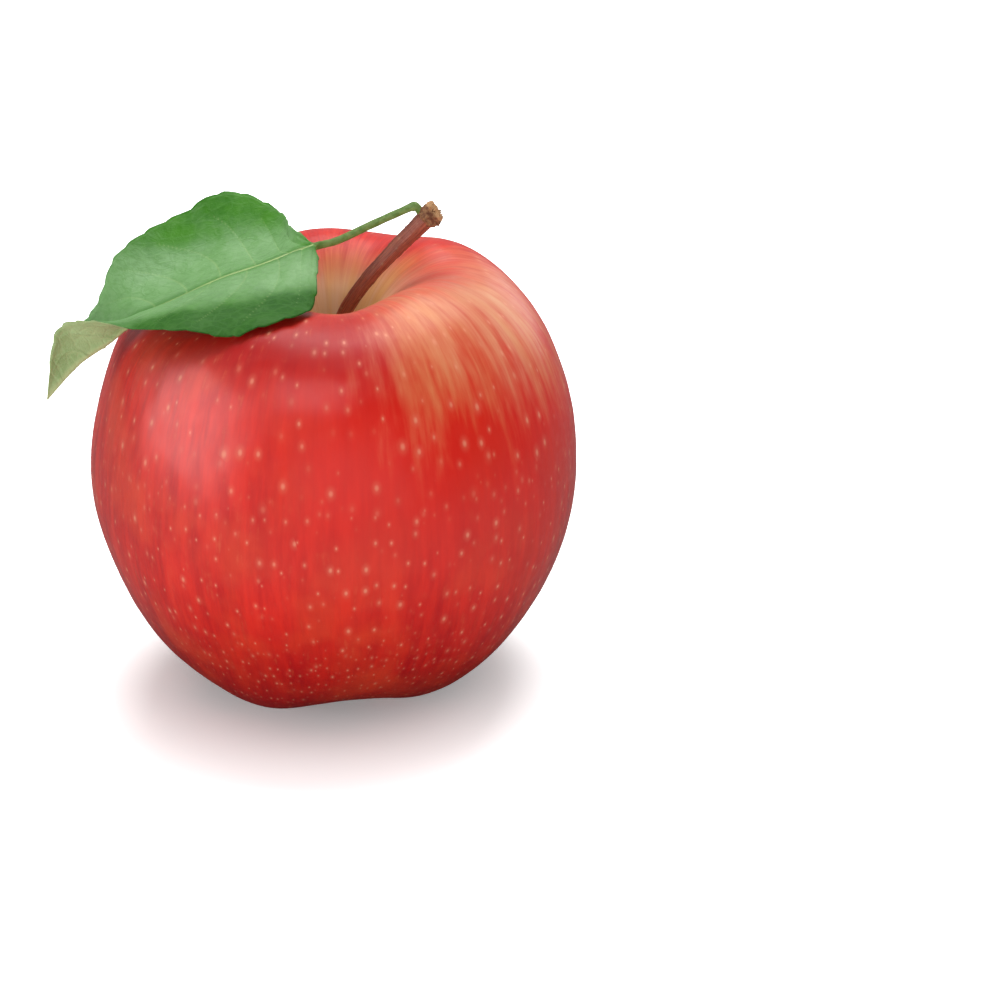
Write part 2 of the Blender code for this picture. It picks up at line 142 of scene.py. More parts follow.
STEM_COLUMNS = 64
STEM_ROWS = 200
STEM_RIDGE = 0.055  # of the radius
STEM_RIDGES = (  # each: how many, twist, start and height
    (3, 1.5, 0.3, 0.5), (5, -2.5, 1.9, 0.45), (9, 3.0, 4.0, 0.35), (14, -4.0, 2.0, 0.2),
)
STEM_RINGS = (0.55, 0.76, 0.83, 0.885)
STEM_RING_RISE = 0.045

SPUR_COLUMNS = 96
SPUR_ROWS = 60
SPUR_ROUGH = 0.22 * MM
SPUR_RINGS = ((0.16, 0.05), (0.42, 0.04))
SPUR_RING_RISE = 0.16 * MM
SPIKE_HEIGHT = 0.35 * MM
SPLINTERS = 34
SPLINTER_SIDES = 5
SPLINTER_TAPER = ((0.0, 1.0), (0.5, 0.8), (0.9, 0.35))

BLADE_STATIONS = 380
STALK_STATIONS = 84
STALK_LEAVES = 0.08  # of the leaf's rows, inside the spur
HALF_COLUMNS = 40
SHEET_THICKNESS = 0.28 * MM
VEIN_PAIRS = 8
VEIN_SWEEP = 0.2  # of the blade, from a side vein's foot to its end
VEIN_SPACING = 0.105
VEIN_GROOVE = 0.04 * MM
VEIN_RIDGE = 0.16 * MM
RIB_WIDTH = 0.42 * MM
RIB_GROOVE = 0.22 * MM
SIDE_VEIN_PALENESS = 0.34  # beside the midrib's
NOTCH_AT = 0.42  # one deeper notch in the far margin
NOTCH_DEPTH = 1.7 * MM
PILLOW = 0.13 * MM  # how far the blade swells between its veins
CRINKLE = 0.11 * MM
STALK_MARK = 0.035  # of the blade, which looks like stalk

SEPAL_ROWS = 26
SEPAL_COLUMNS = 18
SEPAL_THICKNESS = 0.22 * MM
HAIRS = 90  # on each sepal
HAIR_RADII = (0.028 * MM, 0.02 * MM, 0.006 * MM)
STAMENS = 20
STYLES = 5
STAMEN_RADIUS = 0.07 * MM
STYLE_RADIUS = 0.1 * MM
STAMEN_TURN = 2.4  # radians from each to the next


# -------- curves and grids
def smooth_curve(points, samples):
    """Points on a Catmull-Rom curve through the given ones, so many to a span."""
    points = np.asarray(points, float)
    padded = np.vstack([2 * points[0] - points[1], points, 2 * points[-1] - points[-2]])
    curve = []
    for before, start, end, after in zip(padded, padded[1:], padded[2:], padded[3:]):
        for t in np.arange(samples) / samples:
            curve.append(0.5 * (2 * start + (end - before) * t
                                + (2 * before - 5 * start + 4 * end - after) * t ** 2
                                + (3 * start - before - 3 * end + after) * t ** 3))
    curve.append(points[-1])
    return np.array(curve)


def rows_at(curve, marks, wanted):
    """Rows of a curve's table at the wanted places among its rows' marks."""
    return np.stack([np.interp(wanted, marks, column) for column in curve.T], axis=-1)


def distances(curve):
    """How far each row of a curve is from the first, along the curve."""
    steps = np.linalg.norm(np.diff(curve[:, :3], axis=0), axis=1)
    return np.concatenate([[0.0], np.cumsum(steps)])


def evenly(curve, count):
    """So many rows at equal distances along a curve, and each one's share of the way."""
    travelled = distances(curve)
    share = np.linspace(0.0, 1.0, count)
    return rows_at(curve, travelled, share * travelled[-1]), share


def unit(vectors):
    return vectors / np.maximum(np.linalg.norm(vectors, axis=-1, keepdims=True), 1e-12)


def bump(values, middle, spread):
    return np.exp(-((values - middle) / spread) ** 2)


def step(values, low, high):
    """0 below low, 1 above high, with soft corners."""
    t = np.clip((values - low) / (high - low), 0.0, 1.0)
    return t * t * (3 - 2 * t)


def ripple(points, size, seed=0.0):
    """Smooth noise from about -1 to 1 at each point, with lumps of the given size."""
    flat = np.asarray(points, float).reshape(-1, 3) / size + seed
    values = np.array([noise.noise(Vector(place)) for place in flat])
    return values.reshape(np.shape(points)[:-1])


def wrapped_normals(grid):
    """Unit normals of a grid whose columns go round and meet."""
    across = np.roll(grid, -1, axis=1) - np.roll(grid, 1, axis=1)
    down = np.gradient(grid, axis=0)
    return unit(np.cross(down, across))


def wrapped_faces(rows, columns, first=0):
    """Quads of a grid whose columns go round and meet."""
    row, column = np.meshgrid(np.arange(rows - 1), np.arange(columns), indexing="ij")
    after = (column + 1) % columns
    table = np.stack([row * columns + column, (row + 1) * columns + column,
                      (row + 1) * columns + after, row * columns + after], axis=-1)
    return (table.reshape(-1, 4) + first).tolist()


def capped_grid(grid, start_tip, end_tip):
    """Points and faces of a closed body from a wrapped grid and a tip at each end."""
    rows, columns = grid.shape[:2]
    points = grid.reshape(-1, 3).tolist() + [list(start_tip), list(end_tip)]
    faces = wrapped_faces(rows, columns)
    last = (rows - 1) * columns
    for k in range(columns):
        after = (k + 1) % columns
        faces.append((k, after, rows * columns))
        faces.append((last + after, last + k, rows * columns + 1))
    return points, faces


def add_object(name, data):
    thing = bpy.data.objects.new(name, data)
    bpy.context.scene.collection.objects.link(thing)
    return thing


def make_piece(name, points, faces, materials):
    mesh = bpy.data.meshes.new(name)
    mesh.from_pydata(points, [], faces)
    mesh.shade_smooth()
    for material in materials:
        mesh.materials.append(material)
    thing = add_object(name, mesh)
    thing.location = AXIS
    return thing


def ring_marks(turn, third):
    """For each point of a wrapped grid, its direction round the axis and a third value."""
    third = np.broadcast_to(third, (len(third), len(turn)))
    return np.stack([np.cos(turn) + 0 * third, np.sin(turn) + 0 * third, third], axis=-1)


def add_vectors(mesh, name, values):
    made = mesh.attributes.new(name, "FLOAT_VECTOR", "POINT")
    made.data.foreach_set("vector", np.asarray(values, np.float32).ravel())


def settle(thing, nodes):
    """Parents a finished piece to the root and hides the imported nodes that it stands for."""
    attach(thing, "root")
    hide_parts(*nodes)


# -------- node helper
class Look:
    """A material with one shader. Each method adds a node and returns its output."""

    def __init__(self, name, **sockets):
        self.material = bpy.data.materials.new(name)
        self.material.use_nodes = True
        self.tree = self.material.node_tree
        self.shader = self.tree.nodes["Principled BSDF"]
        for socket, value in sockets.items():
            self.shader.inputs[socket.replace("_", " ")].default_value = value

    def put(self, socket, value):
        if isinstance(value, bpy.types.NodeSocket):
            self.tree.links.new(value, socket)
        else:
            socket.default_value = value

    def add(self, kind, inputs=(), **settings):
        node = self.tree.nodes.new("ShaderNode" + kind)
        for name, value in settings.items():
            setattr(node, name, value)
        for name, value in dict(inputs).items():
            self.put(node.inputs[name], value)
        return node

    def attribute(self, name):
        return self.add("Attribute", attribute_name=name).outputs["Vector"]

    def place(self):
        return self.add("TexCoord").outputs["Object"]

    def split(self, vector):
        return self.add("SeparateXYZ", {0: vector}).outputs

    def scaled(self, vector, factors):
        if not isinstance(factors, tuple):
            factors = (factors,) * 3
        return self.vectors("MULTIPLY", vector, factors)

    def vectors(self, operation, first, second):
        return self.add("VectorMath", {0: first, 1: second},
                        operation=operation).outputs[0]

    def tint(self, colour, other, value, *limits):
        """colour, turning to another one where the ramp of a value is high."""
        return self.mix(self.ramp(value, *limits), colour, other)

    def math(self, operation, first, second=0.0, third=0.0):
        return self.add("Math", {0: first, 1: second, 2: third},
                        operation=operation).outputs[0]

    def total(self, *values):
        result = values[0]
        for value in values[1:]:
            result = self.math("ADD", result, value)
        return result

    def times(self, *values):
        result = values[0]
        for value in values[1:]:
            result = self.math("MULTIPLY", result, value)
        return result

    def weighted(self, *pairs):
        return self.total(*(self.times(value, weight) for value, weight in pairs))

    def ramp(self, value, low, high, start=0.0, end=1.0):
        """start where value is low, end where it is high, with soft corners between."""
        return self.add("MapRange", {
            "Value": value, "From Min": low, "From Max": high, "To Min": start, "To Max": end,
        }, interpolation_type="SMOOTHSTEP").outputs[0]

    def hump(self, value, low, middle, high):
        """1 in the middle, 0 beyond low and high."""
        return self.times(self.ramp(value, low, middle), self.ramp(value, middle, high, 1.0, 0.0))

    def facing(self, turn_x, turn_y, angle):
        """How far a direction round the axis points towards an angle, from -1 to 1."""
        return self.weighted((turn_x, math.cos(angle)), (turn_y, math.sin(angle)))

    def centred(self, value, strength):
        """A noise that runs from 0 to 1, taken as plus or minus half the strength."""
        return self.math("MULTIPLY_ADD", value, strength, -strength / 2)

    def noise(self, vector, scale=1.0, detail=3.0, roughness=0.5):
        return self.add("TexNoise", {
            "Vector": vector, "Scale": scale, "Detail": detail, "Roughness": roughness,
        }).outputs["Fac"]

    def cells(self, vector, scale, feature="F1", dimensions="3D"):
        return self.add("TexVoronoi", {"Vector": vector, "Scale": scale},
                        feature=feature, voronoi_dimensions=dimensions).outputs

    def mix(self, share, first, second):
        node = self.add("Mix", data_type="RGBA")
        self.put(node.inputs[0], share)
        for socket, colour in ((node.inputs[6], first), (node.inputs[7], second)):
            self.put(socket, (*colour, 1.0) if isinstance(colour, tuple) else colour)
        return node.outputs[2]

    def finish(self, colour, roughness, height):
        """Links colour and roughness, and a bump whose height is in metres."""
        self.put(self.shader.inputs["Base Color"], colour)
        self.put(self.shader.inputs["Roughness"], roughness)
        bumps = self.add("Bump", {"Height": height, "Strength": 1.0, "Distance": 1.0})
        self.put(self.shader.inputs["Normal"], bumps.outputs[0])
        return self.material


# -------- materials
PATCH_TURN = math.radians(-28)  # side where yellow shows through the red at the shoulder
PALE_TURN = math.radians(118)  # the side away from the sun
LEAF_SHADOW_TURN = math.radians(-118)  # the side where the leaf's painted shadow darkens the red round the shoulder
DOT_SQUEEZE = 0.75  # below 1, the skin's dots are longer than they are wide
DOT_LAYERS = (  # each: spacing, radius, seed, and where along the skin it fades
    (3.7 * MM, 0.38 * MM, (3.1, 0.7, 0.0), (0.5, 0.42), (0.15, 0.22)),
    (2.7 * MM, 0.28 * MM, (0.4, 5.2, 0.0), (0.42, 0.5), (0.72, 0.64)),
    (1.8 * MM, 0.2 * MM, (7.7, 2.9, 0.0), (0.62, 0.7), (0.95, 0.89)),
)

GROUND_YELLOW, GROUND_PEACH, RUSSET = (0.83, 0.46, 0.18), (0.86, 0.56, 0.32), (0.32, 0.17, 0.06)
RED, DARK_RED, WARM_RED = (0.78, 0.022, 0.01), (0.5, 0.005, 0.007), (0.78, 0.01, 0.001)
LEAF_SHADOW_RED, FOOT_SHADE_RED = (0.36, 0.002, 0.003), (0.34, 0.002, 0.009)
GLOW_RED, FLECK_RED, DOT_PEACH = (0.86, 0.07, 0.022), (0.9, 0.17, 0.06), (0.93, 0.4, 0.24)
BARK_PALE, BARK_DARK, BARK_TAN = (0.44, 0.112, 0.058), (0.18, 0.038, 0.023), (0.36, 0.15, 0.07)
BARK_GREEN, BARK_SPOT = (0.19, 0.105, 0.035), (0.42, 0.24, 0.13)
WOOD_PALE, WOOD_DARK, WOOD_CRUMB = (0.66, 0.4, 0.2), (0.38, 0.17, 0.07), (0.1, 0.035, 0.018)
RIND_DARK, RIND_PALE = (0.15, 0.05, 0.025), (0.34, 0.17, 0.08)
LEAF_DARK, LEAF_GREEN, LEAF_GRAIN = (0.028, 0.16, 0.004), (0.052, 0.225, 0.008), (0.085, 0.3, 0.03)
LEAF_MARGIN_SHADE, LEAF_PAINTED_SHEEN = (0.01, 0.085, 0.001), (0.225, 0.43, 0.175)
LEAF_NET, LEAF_RIB = (0.1, 0.28, 0.05), (0.42, 0.56, 0.22)
UNDER_DARK, UNDER_PALE, UNDER_DOWN = (0.27, 0.38, 0.15), (0.35, 0.46, 0.21), (0.5, 0.6, 0.34)
UNDER_NET, UNDER_FINE, UNDER_RIB = (0.42, 0.52, 0.25), (0.42, 0.48, 0.25), (0.47, 0.5, 0.24)
STALK_DARK, STALK_PALE = (0.1, 0.2, 0.035), (0.19, 0.29, 0.08)
DRIED_DARK, DRIED_PALE, DRIED_FUZZ = (0.13, 0.075, 0.04), (0.25, 0.17, 0.105), (0.42, 0.35, 0.26)


def lenticels(mat, place, size, radius, seed, flat=False):
    """1 on small soft dots, each with a size and paleness of its own."""
    cells = mat.cells(mat.vectors("ADD", mat.scaled(place, 1 / size), seed), 1.0,
                       dimensions="2D" if flat else "3D")
    own_size, own_paleness, _ = mat.split(cells["Color"])
    reach = mat.math("MULTIPLY_ADD", own_size, 0.85 * radius / size, 0.5 * radius / size)
    share = mat.math("DIVIDE", cells["Distance"], reach)
    core = mat.ramp(share, 0.1, 1.2, 0.8, 0.0)
    halo = mat.ramp(share, 0.3, 2.8, 0.3, 0.0)
    return mat.times(mat.total(core, halo), mat.ramp(own_paleness, 0.0, 0.8, 0.1, 1.0))


def skin_material():
    mat = Look("apple_skin", Coat_Weight=0.4, Coat_Roughness=0.24, Specular_IOR_Level=0.38)
    place = mat.place()
    growth = mat.attribute("growth")
    turn_x, turn_y, travel = mat.split(growth)

    fine = mat.noise(mat.scaled(growth, (42.0, 42.0, 22.0)), roughness=0.58)
    streak = mat.noise(mat.scaled(growth, (15.0, 15.0, 8.0)), detail=2.0)
    broad = mat.noise(mat.scaled(growth, (3.0, 3.0, 3.6)), detail=2.0)
    mottle = mat.noise(place, scale=420.0, roughness=0.6)
    cloud = mat.noise(place, scale=85.0)

    # How much red covers the ground colour: little in the cavity, all of it on the cheeks.
    depth = mat.ramp(travel, 0.06, 0.21, -0.05, 0.92)
    basin = mat.ramp(travel, 0.9, 0.985, 0.0, -0.45)
    patch_side = mat.facing(turn_x, turn_y, PATCH_TURN)
    ragged = mat.math("MULTIPLY_ADD", streak, 0.12, travel)
    patch = mat.times(mat.ramp(patch_side, 0.3, 1.05), mat.hump(ragged, 0.17, 0.29, 0.56))
    pale_side = mat.facing(turn_x, turn_y, PALE_TURN)
    pale = mat.times(mat.ramp(pale_side, 0.5, 1.0), mat.hump(travel, 0.2, 0.42, 0.78))
    cover = mat.total(depth, basin, mat.times(patch, -0.56), mat.times(pale, -0.34),
                       mat.centred(fine, 0.26), mat.centred(streak, 0.32),
                       mat.centred(broad, 0.3), mat.centred(cloud, 0.4))
    red_share = mat.ramp(cover, -0.1, 0.8)

    ground = mat.tint(GROUND_YELLOW, GROUND_PEACH, broad, 0.35, 0.65)
    russet = mat.times(mat.ramp(travel, 0.02, 0.11, 1.0, 0.0),
                        mat.ramp(fine, 0.25, 0.75, 0.55, 0.85))
    ground = mat.mix(russet, ground, RUSSET)

    tone = mat.weighted((streak, 0.45), (fine, 0.3), (cloud, 0.25))
    red = mat.tint(RED, DARK_RED, tone, 0.34, 0.66)
    warm = mat.times(mat.ramp(patch_side, -0.1, 0.75), mat.hump(travel, 0.1, 0.36, 0.7))
    red = mat.mix(mat.times(warm, 0.85), red, WARM_RED)
    # Painted shadow of the leaf: a deeper red on the shoulder on the leaf's side.
    leaf_shadow_side = mat.facing(turn_x, turn_y, LEAF_SHADOW_TURN)
    leaf_shadow = mat.times(mat.ramp(leaf_shadow_side, 0.35, 0.9), mat.hump(travel, 0.12, 0.25, 0.37))
    red = mat.mix(mat.times(leaf_shadow, 0.75), red, LEAF_SHADOW_RED)
    # Painted shade: the red darkens towards the foot of the fruit.
    red = mat.tint(red, FOOT_SHADE_RED, travel, 0.54, 0.92, 0.0, 0.75)
    glow = mat.times(mat.ramp(cloud, 0.42, 0.7), mat.ramp(warm, 0.0, 0.8, 0.55, 0.1),
                      mat.math("SUBTRACT", 1.0, leaf_shadow))
    red = mat.mix(glow, red, GLOW_RED)
    flecks = mat.ramp(mat.weighted((fine, 0.6), (mottle, 0.4)), 0.54, 0.76)
    flecks = mat.times(flecks, mat.ramp(warm, 0.0, 0.8, 0.3, 0.04))
    red = mat.mix(flecks, red, FLECK_RED)
    colour = mat.mix(red_share, ground, red)

    around = mat.times(mat.math("ARCTAN2", turn_y, turn_x), FRUIT_RADIUS)
    unrolled = mat.add("CombineXYZ",
                        {0: around, 1: mat.times(travel, SKIN_LENGTH * DOT_SQUEEZE)}).outputs[0]
    dots = 0.0
    for spacing, radius, seed, one_end, other_end in DOT_LAYERS:
        layer = mat.times(lenticels(mat, unrolled, spacing, radius, seed, flat=True),
                           mat.ramp(travel, *one_end), mat.ramp(travel, *other_end))
        dots = mat.math("MAXIMUM", dots, layer)
    colour = mat.mix(mat.times(dots, 0.5), colour, DOT_PEACH)

    rough = mat.total(mat.ramp(mottle, 0.3, 0.7, 0.38, 0.48), mat.times(dots, 0.08),
                       mat.times(russet, 0.25))
    pores = mat.noise(place, scale=1900.0, detail=2.0)
    swell = mat.noise(mat.scaled(place, (150.0, 150.0, 90.0)), detail=2.0)
    height = mat.weighted((pores, 0.01 * MM), (swell, 0.16 * MM), (fine, 0.022 * MM),
                           (dots, 0.025 * MM))
    return mat.finish(colour, rough, height)


def bark_material():
    mat = Look("stem_bark", Specular_IOR_Level=0.45, Coat_Weight=0.12, Coat_Roughness=0.35)
    grain = mat.attribute("grain")
    share = mat.split(grain)[2]
    place = mat.place()
    fibre = mat.noise(mat.scaled(grain, (9.0, 9.0, 7.0)), detail=4.0, roughness=0.65)
    blotch = mat.noise(place, scale=700.0, roughness=0.6)
    colour = mat.tint(BARK_PALE, BARK_DARK, fibre, 0.3, 0.7)
    colour = mat.tint(colour, BARK_TAN, blotch, 0.55, 0.8, 0.0, 0.55)
    green = mat.times(mat.ramp(share, 0.34, 0.04), mat.ramp(fibre, 0.25, 0.6, 0.4, 1.0))
    colour = mat.mix(mat.times(green, 0.55), colour, BARK_GREEN)
    spots = lenticels(mat, place, 1.25 * MM, 0.16 * MM, (1.3, 2.2, 0.4))
    colour = mat.mix(mat.times(spots, 0.7), colour, BARK_SPOT)
    rough = mat.ramp(blotch, 0.3, 0.7, 0.42, 0.62)
    wrinkle = mat.noise(mat.scaled(grain, (16.0, 16.0, 60.0)))
    height = mat.weighted((fibre, 0.12 * MM), (wrinkle, 0.035 * MM), (spots, 0.05 * MM))
    return mat.finish(colour, rough, height)


def torn_material():
    mat = Look("torn_wood", Specular_IOR_Level=0.3)
    grain = mat.attribute("grain")
    torn = mat.split(grain)[2]
    place = mat.place()
    fibre = mat.noise(mat.scaled(grain, (14.0, 14.0, 2.0)), detail=4.0, roughness=0.7)
    crumb = mat.noise(place, scale=1500.0, detail=4.0, roughness=0.7)
    wood = mat.tint(WOOD_PALE, WOOD_DARK, fibre, 0.32, 0.68)
    wood = mat.tint(wood, WOOD_CRUMB, crumb, 0.54, 0.68)
    bark = mat.tint(RIND_DARK, RIND_PALE, crumb, 0.35, 0.65)
    share = mat.ramp(mat.total(torn, mat.times(crumb, 0.5)), 0.52, 0.82)
    colour = mat.mix(share, bark, wood)
    height = mat.weighted((fibre, 0.1 * MM), (crumb, 0.12 * MM))
    return mat.finish(colour, mat.ramp(crumb, 0.3, 0.7, 0.7, 0.9), height)


def leaf_net(mat, blade):
    """The fine net of veins: 0 on its lines, up to 1 inside the meshes."""
    wobble = mat.noise(mat.scaled(blade, (900.0, 900.0, 0.0)), detail=2.0)
    shift = mat.add("CombineXYZ", {0: mat.times(wobble, 0.9)}).outputs[0]
    flat = mat.vectors("ADD", mat.scaled(blade, (1000.0, 1000.0, 0.0)), shift)
    coarse = mat.cells(flat, 0.62, "DISTANCE_TO_EDGE")["Distance"]
    small = mat.cells(flat, 1.7, "DISTANCE_TO_EDGE")["Distance"]
    return mat.ramp(coarse, 0.0, 0.16), mat.ramp(small, 0.0, 0.14)


def leaf_top_material():
    mat = Look("leaf_upper_face", Specular_IOR_Level=0.4, Coat_Weight=0.15, Coat_Roughness=0.26)
    blade = mat.attribute("blade")
    along_rib, across, vein = mat.split(blade)
    place = mat.place()
    coarse, small = leaf_net(mat, blade)
    patchy = mat.noise(place, scale=140.0, roughness=0.6)
    grain = mat.noise(place, scale=1100.0, roughness=0.65)
    colour = mat.tint(LEAF_DARK, LEAF_GREEN, patchy, 0.35, 0.65)
    colour = mat.tint(colour, LEAF_GRAIN, grain, 0.4, 0.75, 0.0, 0.3)
    # A painted sheen pales the blade along its midrib and leaves the margins a clear green; the
    # near margin gets painted shade.
    edge = mat.total(across, mat.math("MULTIPLY_ADD", patchy, 6 * MM, -3 * MM))
    # Painted shade: the near margin is darkened below the leaf's own green.
    near_margin_shade = mat.ramp(edge, -8 * MM, -13 * MM)
    colour = mat.mix(mat.times(near_margin_shade, 0.8), colour, LEAF_MARGIN_SHADE)
    painted_sheen = mat.times(mat.ramp(edge, -12 * MM, -6 * MM), mat.ramp(edge, 16 * MM, 8 * MM),
                       mat.ramp(along_rib, 1 * MM, 9 * MM), mat.ramp(grain, 0.25, 0.6, 0.75, 1.0),
                       mat.ramp(mat.math("ABSOLUTE", across), 0.4 * MM, 2.2 * MM, 0.35, 1.0))
    colour = mat.mix(mat.times(painted_sheen, 0.82), colour, LEAF_PAINTED_SHEEN)
    colour = mat.tint(colour, LEAF_NET, coarse, 0.0, 1.0, 0.14, 0.0)
    colour = mat.tint(colour, LEAF_NET, small, 0.0, 1.0, 0.08, 0.0)
    colour = mat.tint(colour, LEAF_RIB, vein, 0.08, 0.8, 0.0, 0.92)
    rough = mat.total(mat.ramp(grain, 0.3, 0.7, 0.3, 0.42), mat.times(vein, 0.08),
                       mat.times(near_margin_shade, 0.35))
    height = mat.weighted((coarse, 0.022 * MM), (small, 0.008 * MM), (grain, 0.016 * MM))
    return mat.finish(colour, rough, height)


def leaf_under_material():
    mat = Look("leaf_under_face", Specular_IOR_Level=0.3)
    blade = mat.attribute("blade")
    vein = mat.split(blade)[2]
    place = mat.place()
    coarse, small = leaf_net(mat, blade)
    down = mat.noise(place, scale=2600.0, roughness=0.7)
    patchy = mat.noise(place, scale=160.0, detail=2.0)
    colour = mat.tint(UNDER_DARK, UNDER_PALE, patchy, 0.35, 0.65)
    colour = mat.tint(colour, UNDER_DOWN, down, 0.45, 0.8, 0.0, 0.45)
    colour = mat.tint(colour, UNDER_NET, coarse, 0.0, 1.0, 0.3, 0.0)
    colour = mat.tint(colour, UNDER_FINE, small, 0.0, 1.0, 0.15, 0.0)
    colour = mat.tint(colour, UNDER_RIB, vein, 0.2, 0.75, 0.0, 0.75)
    height = mat.weighted((coarse, -0.05 * MM), (small, -0.02 * MM), (down, 0.04 * MM))
    return mat.finish(colour, mat.ramp(down, 0.3, 0.7, 0.62, 0.8), height)


def stalk_material():
    mat = Look("leaf_stalk", Specular_IOR_Level=0.45)
    fibre = mat.noise(mat.scaled(mat.place(), 1000.0), scale=0.9, detail=4.0, roughness=0.6)
    colour = mat.tint(STALK_DARK, STALK_PALE, fibre, 0.35, 0.65)
    return mat.finish(colour, mat.ramp(fibre, 0.3, 0.7, 0.42, 0.6), mat.times(fibre, 0.05 * MM))


def dried_material():
    mat = Look("dried_flower", Specular_IOR_Level=0.2)
    place = mat.place()
    fuzz = mat.noise(place, scale=2200.0, detail=4.0, roughness=0.7)
    patchy = mat.noise(place, scale=600.0)
    colour = mat.tint(DRIED_DARK, DRIED_PALE, patchy, 0.35, 0.65)
    colour = mat.tint(colour, DRIED_FUZZ, fuzz, 0.5, 0.8, 0.0, 0.6)
    return mat.finish(colour, mat.ramp(fuzz, 0.3, 0.7, 0.8, 0.95), mat.times(fuzz, 0.1 * MM))


# -------- fruit
SEAT_HEIGHT = FRUIT_HEIGHT - CAVITY_DEPTH
SOCKET_RADIUS = STEM_RADIUS * STEM_SHAPE[0][2] + FIT_GAP


def fruit_curve(samples):
    """Smooth outline from the rim of the socket, over the shoulder, to the basin's middle."""
    points = [(SOCKET_RADIUS, SEAT_HEIGHT)]
    points += [(a * SHOULDER_RADIUS, FRUIT_HEIGHT - b * CAVITY_DEPTH) for a, b in CAVITY_SHAPE]
    for inner, shape in ((SHOULDER_RADIUS, UPPER_SHAPE), (FOOT_RADIUS, LOWER_SHAPE)):
        points += [(inner + a * (FRUIT_RADIUS - inner), b * FRUIT_HEIGHT) for a, b in shape]
    points.append((FOOT_RADIUS, -FOOT_FLAT))
    points += [(a * FOOT_RADIUS, b * BASIN_DEPTH) for a, b in BASIN_SHAPE]
    return smooth_curve(points, samples)


def lobed(points):
    """Moves points of the turned fruit onto its lobes and flattens its feet."""
    x, y, z = np.moveaxis(points, -1, 0)
    radius = np.hypot(x, y)
    turn = np.arctan2(y, x)
    lobe = np.cos(LOBES * (turn - LOBE_TURN))
    foot = bump(radius, FOOT_RADIUS + 2 * MM, 10 * MM) * bump(z, 0.0, 14 * MM)
    shoulder = bump(radius, SHOULDER_RADIUS, 11 * MM) * bump(z, FRUIT_HEIGHT, 12 * MM)
    below = np.clip(1 - z / (0.9 * FRUIT_HEIGHT), 0, 1) * np.clip(radius / SHOULDER_RADIUS, 0, 1)
    cheek = bump(z, 0.77 * FRUIT_HEIGHT, 13 * MM) * np.clip(radius / SHOULDER_RADIUS - 1, 0, 1)
    shift = SHOULDER_SHIFT * cheek
    shift -= FOOT_SHIFT * bump(z, 0.0, 9 * MM) * np.clip(radius / FOOT_RADIUS, 0, 1)
    swell = 1 + RIB_SHARE * lobe * below
    lift = foot * FOOT_GROOVE * (1 - lobe) / 2
    lift += shoulder * (SHOULDER_WAVE * lobe + SHOULDER_TILT * np.cos(turn - TILT_TURN))
    return np.stack([x * swell + shift, y * swell, np.maximum(z + lift, 0.0)], axis=-1)


def turned(outline, columns):
    """Grid of points from an outline of (radius, height), turned about the axis."""
    turn = np.arange(columns) * math.tau / columns
    radius, height = outline[:, 0:1], outline[:, 1:2]
    return np.stack([radius * np.cos(turn), radius * np.sin(turn),
                     height + np.zeros(columns)], axis=-1), turn


def fruit_axis():
    """Where the axis stands: the plain fruit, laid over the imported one's box."""
    plain = lobed(turned(fruit_curve(3), 45)[0]).reshape(-1, 3)
    middle = (plain.min(axis=0) + plain.max(axis=0)) / 2
    low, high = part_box("fruit")
    at = (low + high) / 2
    return Vector((at.x - middle[0], at.y - middle[1], 0.0))


def fruit_top(places):
    """Height of the fruit's skin under each place, or the floor beyond its widest ring."""
    curve = fruit_curve(12)
    upper = curve[:np.argmax(curve[:, 0]) + 1]
    radius = np.hypot(places[:, 0], places[:, 1])
    height = np.interp(radius, upper[:, 0], upper[:, 1])
    on_skin = np.stack([places[:, 0], places[:, 1], height], axis=-1)
    return np.where(radius < upper[-1, 0], lobed(on_skin)[:, 2], 0.0)


def make_fruit():
    collar = [(STEM_RADIUS * 0.9, SEAT_HEIGHT - 1.2 * MM),
              (STEM_RADIUS * 1.06, SEAT_HEIGHT - 0.5 * MM)]
    outline, _ = evenly(np.vstack([collar, fruit_curve(24)[:-4]]), SKIN_ROWS)
    travel = distances(outline)
    travel = travel / travel[-1]
    grid, turn = turned(outline, SKIN_COLUMNS)
    grid = lobed(grid)
    normal = wrapped_normals(grid)
    radius = np.hypot(grid[..., 0], grid[..., 1])
    high = step(grid[..., 2], 0.3 * FRUIT_HEIGHT, 0.6 * FRUIT_HEIGHT)
    clear_of_floor = step(grid[..., 2], 0.6 * MM, 5 * MM)
    clear_of_stem = step(radius, 1.6 * MM, 5 * MM)
    moved = SKIN_WAVE * ripple(grid, SKIN_WAVE_SIZE, 4.2) * clear_of_floor * clear_of_stem
    moved += SKIN_DIMPLE * ripple(grid, SKIN_DIMPLE_SIZE, 9.1) * clear_of_floor * clear_of_stem
    swing = np.angle(np.exp(1j * (turn - FURROW_TURN)))
    moved -= FURROW_DEPTH * bump(swing, 0.0, 0.3) * bump(radius, FURROW_RADIUS, 9 * MM) * high
    in_basin = bump(radius, 5.0 * MM, 3.6 * MM) * (1 - high)
    pleats = 0.6 * np.cos(LOBES * (turn - LOBE_TURN)) + 0.4 * np.cos(CALYX_FOLDS * turn + 1.0)
    moved += CALYX_PUCKER * in_basin * pleats
    grid = grid + normal * moved[..., None]
    grid[..., 2] = np.maximum(grid[..., 2], 0.0)
    top = (0.0, 0.0, grid[0, :, 2].mean())
    foot = (0.0, 0.0, grid[-1, :, 2].mean())
    points, faces = capped_grid(grid, top, foot)
    fruit = make_piece("apple_body", points, [face[::-1] for face in faces], [skin_material()])
    growth = ring_marks(turn, travel[:, None]).reshape(-1, 3)
    add_vectors(fruit.data, "growth", np.vstack([growth, (1.0, 0.0, 0.0), (1.0, 0.0, 1.0)]))
    settle(fruit, ["fruit"])


